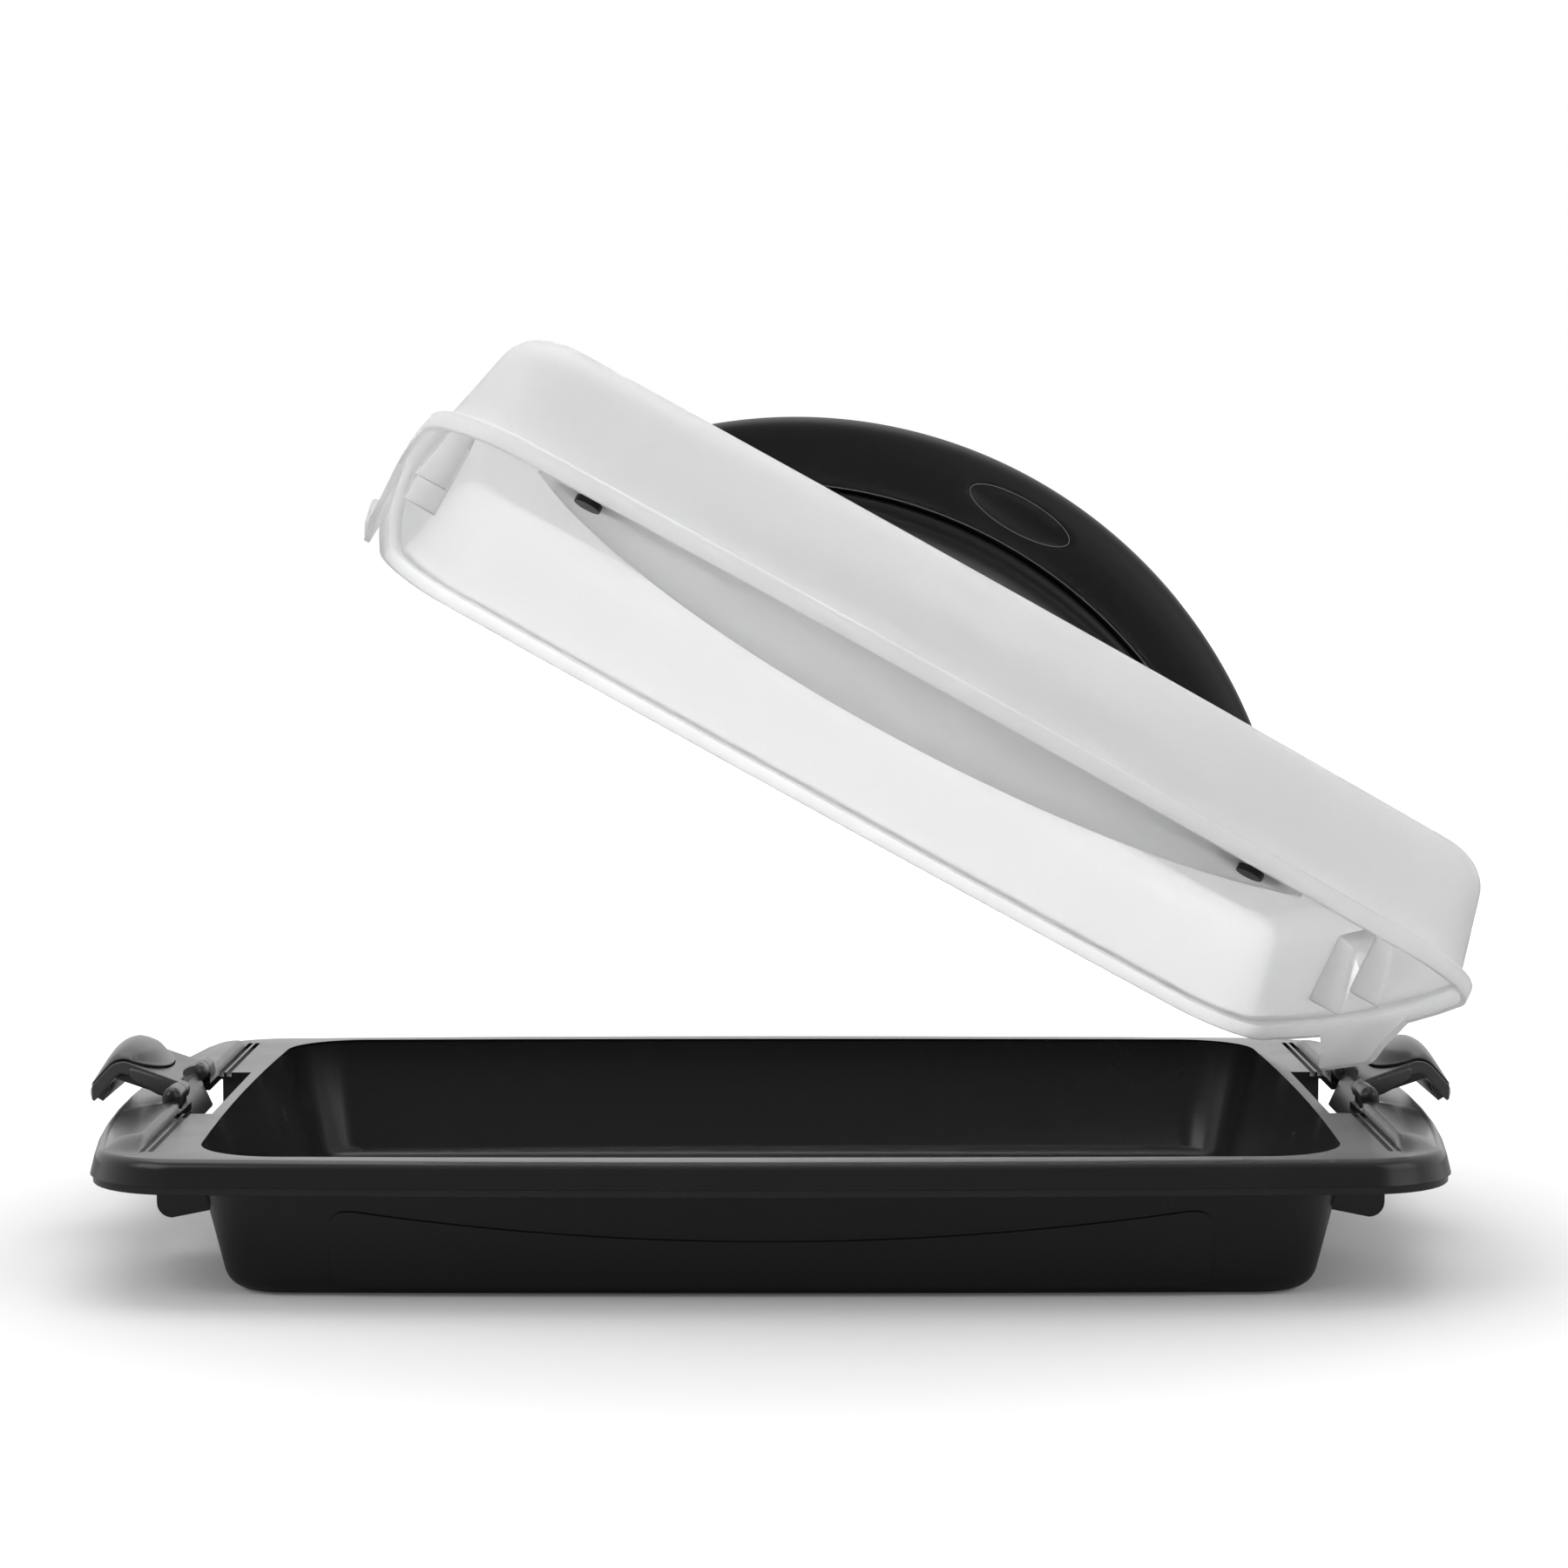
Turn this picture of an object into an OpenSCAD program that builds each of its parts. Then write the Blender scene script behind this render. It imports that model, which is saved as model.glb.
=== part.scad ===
// Cake carrier: a shallow moulded tray with a wide rim, a translucent lid with a
// carrying handle, and two rocker clips that hook over tongues on the lid's short ends.
// X is the long direction, Y the depth, Z up; the origin is the middle of the tray's underside.
// The lid stands tilted on its right end and both clips are up, as when the carrier is opened.

/* [Tray] */
// Length of the cavity body, measured outside at the rim
body_l = 378; // [340:1:430]
// Width of the cavity body, measured outside at the rim
body_w = 281; // [250:1:320]
// Reach of the rim past the body at the middle of each short end
rim_end = 39; // [36:0.5:60]
// Reach of the rim past the body at the middle of each long side
rim_side = 10.5; // [8:0.5:24]
// Height of the rim deck above the underside
tray_h = 46.5; // [40:0.5:60]
// Wall thickness of the tray
tray_t = 2.5; // [1.8:0.1:3]
// Height of the rolled outer skirt
skirt_h = 11; // [8:0.5:14]
// How far each short end of the rim bows out
rim_bow_x = 8; // [5:0.5:10]
// How far each long side of the rim bows out
rim_bow_y = 6; // [4:0.5:8]
// Corner radius of the rim
rim_corner_r = 32; // [26:1:40]
// Corner radius of the cavity body at the rim
body_corner_r = 30; // [26:1:36]
// Draft of the body walls
body_draft = 14; // [8:0.5:16]

/* [Lid] */
// Reach of the lid's flange past the tray's body at each short end
lid_past_end = 8; // [6:0.5:8.5]
// Reach of the lid's flange past the tray's body at each long side
lid_past_side = 3.5; // [2:0.5:5]
// Height of the lid from its seat to its flat top
lid_h = 45; // [42:0.5:60]
// Wall thickness of the lid
lid_t = 1.8; // [1.4:0.1:2.2]
// Height of the flange band
flange_h = 6.7; // [5:0.1:8]
// Width of the step from the wall out to the flange face
flange_out = 5; // [4:0.5:7]
// Draft of the lid walls
lid_draft = 12; // [8:0.5:16]
// Radius of the rounded top edge
lid_edge_r = 14; // [8:0.5:14]
// Corner radius of the flange
lid_corner_r = 34; // [32:1:40]
// Depth of the lens-shaped pocket in the top
pocket_d = 12; // [8:0.5:14]
// Length of the pocket from tip to tip
pocket_l = 304; // [298:1:312]
// Width of the pocket at its middle
pocket_w = 196; // [150:1:204]
// Tilt of the opened lid
lid_tilt = 32; // [10:0.5:40]

/* [Lid tongues] */
// Half width of a tongue where it leaves the flange
tongue_root = 46; // [38:1:47]
// Half width of a tongue near its lower end
tongue_tip = 33; // [28:1:36]
// How far a tongue hangs below the lid's seat
tongue_drop = 14.8; // [13:0.2:16]
// How far a tongue's catch stands out from its face
catch_out = 2.4; // [2:0.1:2.6]
// Half width of the catch
catch_half = 19; // [14:0.5:19]

/* [Handle] */
// Height of the handle's crown above the lid's top
handle_rise = 69.5; // [60:0.5:80]
// Radius of the handle's arch
handle_r = 172; // [165:1:180]
// Depth of the grip from crown to underside
grip_h = 31.8; // [26:0.2:36]
// Half width of the grip at its middle
grip_half = 16; // [12:0.5:18]
// Half width of the handle at its feet
foot_half = 8.5; // [6:0.5:9]
// Thickness of the cover strip under the grip
strip_t = 3; // [2:0.5:5]
// Depth of the finger dimples
dimple_d = 2.6; // [1:0.1:4]
// Radius of the fixing pegs
peg_r = 3; // [2.5:0.1:3.5]

/* [Clips] */
// Distance of the clip pivots out from the lid's flange
pivot_out = 8.8; // [8.6:0.1:9]
// Height of the clip pivots above the rim deck
pivot_up = 4.2; // [4:0.1:4.6]
// Half width of a clip's hood
clip_half = 24.5; // [22:0.5:26]
// Thickness of the clip's plate
clip_t = 3.9; // [3:0.1:4.2]
// Upward slope of the raised hood
hood_angle = 20; // [16:1:22]
// Downward slope of the finger lip
lip_angle = 48; // [40:1:55]
// Length of the finger lip
lip_len = 12.5; // [10:0.5:14]
// Radius of the pivot knuckles
knuckle_r = 3.4; // [3:0.1:3.6]
// Radius of the pivot pins
pin_r = 1.6; // [1.2:0.1:1.8]
// Length of the hook below the pivot
hook_drop = 12.7; // [11:0.1:13]
// Half width of the hook
hook_half = 19.8; // [15:0.1:20]
// Height of the thumb pad's dome above the plate
dome_h = 5.4; // [3:0.1:7]

/* [Clearances] */
// Gap between pieces that move past each other
gap = 0.3; // [0.2:0.05:0.4]
// Radial clearance of a pin in its bore
fit = 0.05; // [0.02:0.01:0.1]

/* [Hidden] */
$fn = 96;
fine = 720;

black = [0.10, 0.10, 0.11];
soft_black = [0.16, 0.16, 0.17];
clear_white = [0.93, 0.94, 0.95, 0.6];

// Overall sizes worked out from the body
tray_l = body_l + 2 * rim_end;
tray_w = body_w + 2 * rim_side;
lid_l = body_l + 2 * lid_past_end;
lid_w = body_w + 2 * lid_past_side;
pivot_x = lid_l / 2 + pivot_out;

// Plan outlines: half length, half width, corner radius, bow of the ends, bow of the sides
rim_plan = [tray_l / 2, tray_w / 2, rim_corner_r, rim_bow_x, rim_bow_y];
body_plan = [body_l / 2, body_w / 2, body_corner_r, 2, 2];
lid_plan = [lid_l / 2, lid_w / 2, lid_corner_r, 5, 3];

// Tray
deck_z = tray_h;
deck_low = deck_z - tray_t;
foot_r = 8;
roll_r = 3.6;
lip_h = 2.4;
lip_in = 0.9;
skirt_lean = 1.2;
opening_in = body_l / 2 + 1.5;
opening_out = pivot_x - 4.2;
opening_half = tongue_root + 2.5;
hook_out = pivot_x + 3.2;
slot_half_w = 0.9;
slot_depth = 1.5;
slot_x = [lid_l / 2 + 1.7, lid_l / 2 + 4.4];
ridge_h = 3.1;
ridge_end_y = tray_w / 2 - 29;
slot_y = [opening_half - 1, ridge_end_y + 4];
knuckle_len = 10;
knuckle_y = clip_half + 3;
gusset_y = [opening_half + 1.5, body_w / 2 - 40.5];
gusset_w = 2.2;
gusset_out = pivot_x - 4.8;
gusset_low = deck_z - 26;
gusset_r = 5;
panel_half = body_l / 2 - 48;
panel_top = deck_z - 18;
panel_dip = 9.9;
panel_low = 3.5;
panel_r = 5;
panel_t = 0.6;

// Lid
seat_z = deck_z + gap;
lid_top_z = seat_z + lid_h;
pocket_z = lid_top_z - pocket_d;
edge_in = flange_out + (lid_h - lid_edge_r - flange_h) * tan(lid_draft) + lid_edge_r / cos(lid_draft);
tilt_axis = [cos(12) * cos(114), cos(12) * sin(114), sin(12)];
tilt_point = [pivot_x + 6.2, 74, seat_z];
tongue_x = lid_l / 2 - 1;
tongue_t = 2;
tongue_r = 9;
catch_h = 6.3;
boss_half = 24;
boss_x = lid_l / 2 - flange_out + 0.6;
boss_top = lid_h - lid_edge_r;

// Handle
crown_z = lid_top_z + handle_rise;
arch_z = crown_z - handle_r;
arch_low_z = arch_z - grip_h;
foot_z = pocket_z + 0.02;
arch_end = acos((foot_z - arch_z) / handle_r);
arch_low_end = acos((foot_z - arch_low_z) / handle_r);
strip_side = 1.4;
grip_stations = 48;
grip_points = 36;
dimple_half_l = 21;
dimple_half_h = 8.5;
dimple_z = crown_z - 18.5;
peg_x = handle_r * (sin(arch_end) + sin(arch_low_end)) / 2;
peg_depth = 12;
peg_head_r = 5;
peg_head_h = 2.4;

// Clips, in side view with the pivot as origin and the hood towards +X
pivot_z = deck_z + pivot_up;
bend_in = 2.8;
bend_out = bend_in + clip_t;
bend_c = [19.2, 3.3];
hood_front = 33.3;
hood_front_r = 87;
arm_half = clip_half - 2.7;
arm_end = clip_half + 2.7;
pin_len = 5.2;
hook_t = 4;
hook_lean = 4.2;
waist_r = 51;
waist_x = 1.5;
dome_r = 45;
dome_c = 19;
dome_side_r = 17;

// ---------- outlines ----------

function arc_pts(c, r, a0, a1, n = 8) = [for (i = [0:n]) c + r * [cos(a0 + (a1 - a0) * i / n), sin(a0 + (a1 - a0) * i / n)]];

function plan_cx(p) = p[0] - p[2] - p[3];
function plan_cy(p) = p[1] - p[2] - p[4];
function end_r(p) = (pow(p[2] + p[3], 2) + pow(plan_cy(p), 2) - pow(p[2], 2)) / (2 * p[3]);
function side_r(p) = (pow(p[2] + p[4], 2) + pow(plan_cx(p), 2) - pow(p[2], 2)) / (2 * p[4]);
function end_a(p) = asin(plan_cy(p) / (end_r(p) - p[2]));
function side_a(p) = asin(plan_cx(p) / (side_r(p) - p[2]));

// One stretch of a swept wall: an outline turned about c at radius r, from angle a0 to a1
module stretch(c, r, a0, a1, q) {
    translate([c[0], c[1], 0])
        rotate([0, 0, a0])
            rotate_extrude(angle = a1 - a0, $fn = max($fn, r > 200 ? fine : 96))
                translate([r, 0])
                    polygon(q);
}

// Points round a quarter of the plan grown by d, and round the whole of it
function quarter(p, d) = concat(
    arc_pts([p[0] - end_r(p), 0], end_r(p) + d, 0, end_a(p), 4),
    arc_pts([plan_cx(p), plan_cy(p)], p[2] + d, end_a(p) + 8, 82 - side_a(p), 7),
    arc_pts([0, p[1] - side_r(p)], side_r(p) + d, 90 - side_a(p), 90, 4)
);
function flip(q, sx, sy) = [for (v = q) [sx * v[0], sy * v[1]]];
function back(q) = [for (i = [len(q) - 1:-1:0]) q[i]];
function rest(q) = [for (i = [1:len(q) - 1]) q[i]];
function half_plan(q) = concat(q, rest(back(flip(q, -1, 1))));
function whole_plan(q) = concat(rest(q), rest(flip(q, -1, -1)));

// Skin through rings of equal count, closed by two flat ends
module skin(rings) {
    n = len(rings[0]);
    m = len(rings);
    pts = [for (ring = rings, p = ring) p];
    sides = [for (i = [0:m - 2], j = [0:n - 1], h = [0, 1])
        let (a = i * n + j, b = i * n + (j + 1) % n)
        h == 0 ? [a, b, b + n] : [a, b + n, a + n]];
    polyhedron(pts, concat(sides, [[for (j = [n - 1:-1:0]) j]], [[for (j = [0:n - 1]) (m - 1) * n + j]]), convexity = 6);
}

// Both short ends: the child is drawn at the right end
module both_ends() {
    children();
    mirror([1, 0, 0]) children();
}

// Both halves in depth: the child is drawn at the back
module front_back() {
    children();
    mirror([0, 1, 0]) children();
}

// An X-Z outline carried along Y from y0 to y1
module along_y(y0, y1) {
    translate([0, y1, 0])
        rotate([90, 0, 0])
            linear_extrude(y1 - y0)
                children();
}

// ---------- tray ----------

function wall_x(z) = (z - deck_low) * tan(body_draft);
foot_cx = wall_x(foot_r) - foot_r / cos(body_draft);
wall_in = tray_t / cos(body_draft);

// The tray's skin as rings from its underside out over the rim and back down inside:
// each ring is a plan, its offset outwards and its height
function rings_of(p, q) = [for (v = q) [p, v[0], v[1]]];
roll_c = [-skirt_lean - roll_r, deck_z - roll_r];
skirt_low = deck_z - skirt_h;
tray_rings = concat(
    rings_of(body_plan, arc_pts([foot_cx, foot_r], foot_r, -90, -body_draft)),
    rings_of(body_plan, [[0, deck_low]]),
    rings_of(rim_plan, [[roll_c[0] - 1.2, deck_low]]),
    rings_of(rim_plan, arc_pts(roll_c, roll_r - tray_t, 90, 5, 3)),
    rings_of(rim_plan, [[-2.6, skirt_low + lip_h + 0.6], [-lip_in - 2, skirt_low + lip_h], [-lip_in - 2, skirt_low]]),
    rings_of(rim_plan, [[-lip_in - 0.3, skirt_low], [-lip_in, skirt_low + 0.3], [-lip_in, skirt_low + lip_h]]),
    rings_of(rim_plan, [[0, skirt_low + lip_h + 0.3]]),
    rings_of(rim_plan, arc_pts(roll_c, roll_r, 5, 90, 7)),
    rings_of(body_plan, arc_pts([wall_x(deck_z) - wall_in - 0.2, deck_z - 1.2], 1.2, 90, 0, 4)),
    rings_of(body_plan, arc_pts([foot_cx, foot_r], foot_r - tray_t, -body_draft, -90, 6))
);

module tray_shell() {
    skin([for (r = tray_rings) [for (v = back(whole_plan(half_plan(quarter(r[0], r[1]))))) [v[0], v[1], r[2]]]]);
}

// Raised bead outboard of the slots, with a round knuckle where the clip is pinned
module ridge() {
    along_y(knuckle_y, ridge_end_y)
        polygon(concat(
            [[pivot_x - 3, deck_z - 1]],
            arc_pts([pivot_x - 0.6, deck_z + ridge_h - 2.2], 2.2, 170, 80, 5),
            [[pivot_x + 3.4, deck_z + 1.7], [pivot_x + 8.5, deck_z], [pivot_x + 8.5, deck_z - 1]]
        ));
    along_y(knuckle_y, knuckle_y + knuckle_len) {
        translate([pivot_x, pivot_z]) circle(r = knuckle_r);
        translate([pivot_x - knuckle_r, deck_z - 1]) square([2 * knuckle_r, pivot_up + 1]);
    }
    translate([pivot_x, knuckle_y + knuckle_len, pivot_z])
        sphere(r = knuckle_r);
    translate([pivot_x, knuckle_y + knuckle_len, deck_z - 1])
        cylinder(r = knuckle_r, h = pivot_up + 1);
}

// Slopes the outer end of a ridge down into the deck
module ridge_run_out() {
    translate([pivot_x - 6, ridge_end_y + 1, deck_z])
        rotate([-55, 0, 0])
            translate([0, -40, 0])
                cube([20, 40, 12]);
}

module gusset(y) {
    inner = 1.2;
    along_y(y - gusset_w / 2, y + gusset_w / 2)
        polygon(concat(
            [[body_l / 2 + wall_x(deck_low) - inner - y * y / 6000, deck_low + 1], [gusset_out, deck_low + 1]],
            arc_pts([gusset_out - gusset_r, gusset_low + gusset_r], gusset_r, 0, -90, 5),
            [[body_l / 2 + wall_x(gusset_low + 3) - inner - y * y / 6000, gusset_low + 3]]
        ));
}

module slot(x) {
    translate([x - slot_half_w, slot_y[0], deck_z - slot_depth])
        cube([2 * slot_half_w, slot_y[1] - slot_y[0], slot_depth + 1]);
    translate([x, slot_y[1], deck_z - slot_depth])
        cylinder(r = slot_half_w, h = slot_depth + 1, $fn = 32);
}

// Deck opening that takes the lid's tongue, widened outboard for the clip's hook
module rim_opening() {
    low = deck_low - 1;
    h = tray_t + 3;
    translate([opening_in, -opening_half, low])
        cube([opening_out - opening_in, 2 * opening_half, h]);
    translate([opening_out - 1, -hook_half - 1.8, low])
        cube([hook_out - opening_out + 1, 2 * hook_half + 3.6, h]);
}

module pivot_bore() {
    translate([pivot_x, knuckle_y - 1, pivot_z])
        rotate([-90, 0, 0])
            cylinder(r = pin_r + fit, h = pin_len + 1 + gap, $fn = 48);
}

// Raised panel on each long wall, with a sagging upper edge
module panel() {
    sag_r = (pow(panel_half - panel_r - 3, 2) + pow(panel_dip, 2)) / (2 * panel_dip);
    sag_a = asin((panel_half - panel_r - 3) / sag_r);
    intersection() {
        stretch([0, body_w / 2 - side_r(body_plan)], side_r(body_plan), 90 - side_a(body_plan), 90 + side_a(body_plan),
            [[wall_x(1) - 1, 1], [wall_x(1) + panel_t, 1], [wall_x(deck_low) + panel_t, deck_low], [wall_x(deck_low) - 1, deck_low]]);
        along_y(0, body_w)
            polygon(concat(
                arc_pts([panel_r - panel_half, panel_low + panel_r], panel_r, 180, 270, 4),
                arc_pts([panel_half - panel_r, panel_low + panel_r], panel_r, 270, 360, 4),
                arc_pts([panel_half - panel_r, panel_top - panel_r], panel_r, 0, 90, 5),
                arc_pts([0, panel_top - panel_dip + sag_r], sag_r, sag_a - 90, -90 - sag_a, 24),
                arc_pts([panel_r - panel_half, panel_top - panel_r], panel_r, 90, 180, 5)
            ));
    }
}

module base_tray() {
    color(black)
        difference() {
            union() {
                tray_shell();
                both_ends() front_back() {
                    difference() {
                        ridge();
                        ridge_run_out();
                    }
                    for (y = gusset_y) gusset(y);
                }
                front_back() panel();
            }
            both_ends() {
                rim_opening();
                front_back() {
                    for (x = slot_x) slot(x);
                    pivot_bore();
                }
            }
        }
}

// ---------- lid, drawn shut and then tilted open ----------

module tilted() {
    translate(tilt_point)
        rotate(a = lid_tilt, v = tilt_axis)
            translate(-tilt_point)
                children();
}

// The lid's skin as rings from its top out and down to the seat and back up inside
lid_edge_c = [-edge_in, lid_h - lid_edge_r];
lid_rings = concat(
    rings_of(lid_plan, arc_pts(lid_edge_c, lid_edge_r, 90, lid_draft, 9)),
    rings_of(lid_plan, [[-flange_out, flange_h + 0.6], [-flange_out + 0.6, flange_h]]),
    rings_of(lid_plan, arc_pts([-1.8, flange_h - 1.8], 1.8, 90, 0, 3)),
    rings_of(lid_plan, [[0, 0.3], [-0.3, 0], [-lid_t, 0], [-lid_t, flange_h - lid_t]]),
    rings_of(lid_plan, [[-flange_out - lid_t / cos(lid_draft), flange_h - lid_t]]),
    rings_of(lid_plan, arc_pts(lid_edge_c, lid_edge_r - lid_t, lid_draft, 90, 7))
);

module lid_skin() {
    translate([0, 0, seat_z])
        skin([for (r = lid_rings) [for (v = whole_plan(half_plan(quarter(r[0], r[1])))) [v[0], v[1], r[2]]]]);
}

function lens_r() = (pow(pocket_l / 2, 2) + pow(pocket_w / 2, 2)) / pocket_w;

module lens(d = 0) {
    intersection_for (s = [-1, 1])
        translate([0, s * (lens_r() - pocket_w / 2)])
            circle(r = lens_r() + d, $fn = 360);
}

function tongue_outline() = concat(
    [[-tongue_root - 2, 3], [-tongue_root, 0]],
    arc_pts([-tongue_tip + tongue_r, tongue_r - tongue_drop], tongue_r, 200, 270, 6),
    arc_pts([tongue_tip - tongue_r, tongue_r - tongue_drop], tongue_r, 270, 340, 6),
    [[tongue_root, 0], [tongue_root + 2, 3]]
);

// Tongue in the plane of the short end, with a catch along the middle of its lower edge
module tongue() {
    translate([tongue_x - tongue_t, 0, seat_z])
        rotate([90, 0, 90])
            linear_extrude(tongue_t)
                polygon(tongue_outline());
    low = seat_z - tongue_drop;
    along_y(-catch_half, catch_half)
        polygon(concat(
            [[tongue_x - tongue_t, low + 0.01], [tongue_x + 0.4, low + 0.4]],
            arc_pts([tongue_x + catch_out - 1.6, low + catch_h - 1.6], 1.6, -40, 90, 6),
            [[tongue_x - 0.5, low + catch_h]]
        ));
}

// Upright boss on the short wall above the tongue, open to the inside
module boss(d) {
    along_y(-boss_half - d, boss_half + d)
        polygon([[boss_x - 14, flange_h - 1.8 + seat_z], [boss_x + d, flange_h - 1.8 + seat_z],
                 [boss_x + d - 0.6, boss_top - 6 + seat_z + d], [boss_x - 8, boss_top + seat_z + d], [boss_x - 14, boss_top + seat_z]]);
}

module lid_shell() {
    color(clear_white)
        tilted()
            difference() {
                union() {
                    lid_skin();
                    both_ends() boss(0);
                    translate([0, 0, pocket_z - lid_t])
                        linear_extrude(pocket_d + lid_t - 0.4) lens(lid_t);
                    both_ends() tongue();
                }
                translate([0, 0, pocket_z])
                    linear_extrude(pocket_d + 1) lens();
                both_ends() {
                    boss(-lid_t);
                    translate([peg_x, 0, pocket_z - lid_t - 1])
                        cylinder(r = peg_r + fit, h = lid_t + 2, $fn = 48);
                }
            }
}

// ---------- handle ----------

function sgn_pow(v, e) = sign(v) * pow(abs(v), e);
function ease(t) = t * t;

// Point on the arch: f runs from -1 to 1 along it, up from 0 on the underside to 1 on the crown
function arch_pt(f, up) =
    up * [handle_r * sin(f * arch_end), arch_z + handle_r * cos(f * arch_end)]
    + (1 - up) * [handle_r * sin(f * arch_low_end), arch_low_z + handle_r * cos(f * arch_low_end)];

function half_at(f) = grip_half - (grip_half - foot_half) * ease(f);
function in_oval(x, y, a, b) = max(0, 1 - pow(x / a, 2) - pow(y / b, 2));
function side_dimple(x, z) = dimple_d * min(1, 2.2 * in_oval(x, z - dimple_z, dimple_half_l, dimple_half_h));

// One point of the grip's skin; a turns once round the section
function grip_pt(f, a, up0, side) =
    let (
        c = sgn_pow(cos(a), 0.62),
        s = sgn_pow(sin(a), 0.62),
        up = up0 + (1 - up0) * (1 + s) / 2,
        q = arch_pt(f, up),
        y = (half_at(f) - side) * c * (1 - 0.12 * max(0, -s)),
        cut = abs(c) > 0.5 ? side_dimple(q[0], q[1]) : 0
    )
    [q[0], y - sign(y) * min(abs(y), cut), q[1]];

function station(i) = let (t = 2 * i / grip_stations - 1) sgn_pow(t, 1.15);

module handle_grip() {
    split = strip_t / grip_h;
    color(black)
        tilted()
            difference() {
                skin([for (i = [0:grip_stations])
                    [for (j = [0:grip_points - 1]) grip_pt(station(i), -360 * j / grip_points, split, 0)]]);
                both_ends()
                    translate([peg_x, 0, foot_z - 1])
                        cylinder(r = peg_r + fit, h = peg_depth + 1, $fn = 48);
            }
}

// Cover strip that closes the underside of the grip
module handle_strip() {
    last = 0.86;
    top = (strip_t - gap / 2) / grip_h;
    color(soft_black)
        tilted()
            skin([for (i = [0:24])
                let (f = last * (i / 12 - 1), w = half_at(f) - strip_side)
                [for (k = [[-w, 0.03], [-w, top], [w, top], [w, 0.03], [w - 1, 0], [1 - w, 0]])
                    let (q = arch_pt(f, k[1])) [q[0], k[0], q[1]]]]);
}

// Peg that rivets a foot of the handle to the pocket floor
module handle_peg(side) {
    color(soft_black)
        tilted()
            translate([side * peg_x, 0, pocket_z - lid_t]) {
                translate([0, 0, -peg_head_h]) cylinder(r = peg_head_r, h = peg_head_h);
                translate([0, 0, -peg_head_h]) cylinder(r = peg_r, h = peg_head_h + lid_t + peg_depth - 1, $fn = 48);
            }
}

module handle_peg_left() {
    handle_peg(-1);
}

module handle_peg_right() {
    handle_peg(1);
}

// ---------- clips, drawn at the right end ----------

function hood_n() = [-sin(hood_angle), cos(hood_angle)];
function hood_d() = [cos(hood_angle), sin(hood_angle)];
function lip_n() = [sin(lip_angle), cos(lip_angle)];
function lip_d() = [cos(lip_angle), -sin(lip_angle)];
function hood_top() = concat(
    [bend_c + bend_out * hood_n() - 18.2 * hood_d()],
    arc_pts(bend_c, bend_out, 90 + hood_angle, 90 - lip_angle, 8),
    [bend_c + bend_out * lip_n() + lip_len * lip_d()]
);
function hood_low() = concat(
    [bend_c + bend_in * lip_n() + (lip_len - 0.8) * lip_d()],
    arc_pts(bend_c, bend_in, 90 - lip_angle, 90 + hood_angle, 5),
    [bend_c + bend_in * hood_n() - 15.5 * hood_d()]
);

module at_pivot() {
    translate([pivot_x, 0, pivot_z])
        children();
}

// Outline of the hood from above
module hood_plan() {
    intersection() {
        translate([hood_front - hood_front_r, 0]) circle(r = hood_front_r, $fn = fine);
        union() {
            translate([12, -clip_half]) square([40, 2 * clip_half]);
            polygon([[-4, -arm_end + 1.2], [13, -clip_half], [13, clip_half], [-4, arm_end - 1.2]]);
        }
    }
}

module clip_body() {
    at_pivot()
        difference() {
            union() {
                intersection() {
                    along_y(-40, 40) polygon(concat(hood_top(), hood_low(), [[0, -0.5], [-0.5, 2]]));
                    linear_extrude(60, center = true) hood_plan();
                }
                along_y(-hook_half, hook_half)
                    polygon(concat(
                        [[1.9, 3.2], [0.2, 0.8]],
                        arc_pts([-hook_lean - 1.2 + 1.2, 1.2 - hook_drop], 1.2, 180, 270, 3),
                        arc_pts([hook_t - hook_lean - 2.2, 1.2 - hook_drop], 1.2, 270, 350, 3),
                        [[3.2, -1.6], [5.2, 1.4], [5, 4]]
                    ));
                front_back()
                    translate([0, arm_half, 0])
                        rotate([-90, 0, 0]) {
                            cylinder(r = knuckle_r, h = arm_end - arm_half - gap);
                            cylinder(r = pin_r, h = arm_end - arm_half + pin_len - gap, $fn = 48);
                        }
            }
            // Hollow of the inner edge between the two arms, above the hook
            translate([waist_x - waist_r, 0, 0.5])
                cylinder(r = waist_r, h = 10, $fn = 360);
        }
}

// Domed thumb pad: an egg-shaped cap turned about an axis below the hood
module pad_body() {
    under = concat([[-5, -30]], hood_top(), [[45, bend_c[1] - 30]]);
    crown = bend_c[1] + bend_out + dome_h;
    at_pivot()
        difference() {
            intersection() {
                translate([0, 0, crown - dome_r])
                    rotate([0, 90, 0])
                        rotate([0, 0, 180 - 35])
                            rotate_extrude(angle = 70, $fn = 360)
                                intersection() {
                                    translate([dome_r - dome_side_r, dome_c]) circle(r = dome_side_r);
                                    translate([dome_r - 22, 0]) square([40, 60]);
                                }
                linear_extrude(60, center = true)
                    intersection() {
                        translate([hood_front - hood_front_r, 0]) circle(r = hood_front_r - 0.4, $fn = fine);
                        translate([0, 0.8 - clip_half]) square([60, 2 * clip_half - 1.6]);
                    }
            }
            along_y(-40, 40) polygon(under);
        }
}

module clip_left() {
    color(black) mirror([1, 0, 0]) clip_body();
}

module clip_right() {
    color(black) clip_body();
}

module clip_pad_left() {
    color(soft_black) mirror([1, 0, 0]) pad_body();
}

module clip_pad_right() {
    color(soft_black) pad_body();
}

base_tray();
lid_shell();
handle_grip();
handle_strip();
handle_peg_left();
handle_peg_right();
clip_left();
clip_right();
clip_pad_left();
clip_pad_right();
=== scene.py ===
import math
import bmesh
import bpy
from mathutils import Matrix, Vector


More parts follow.
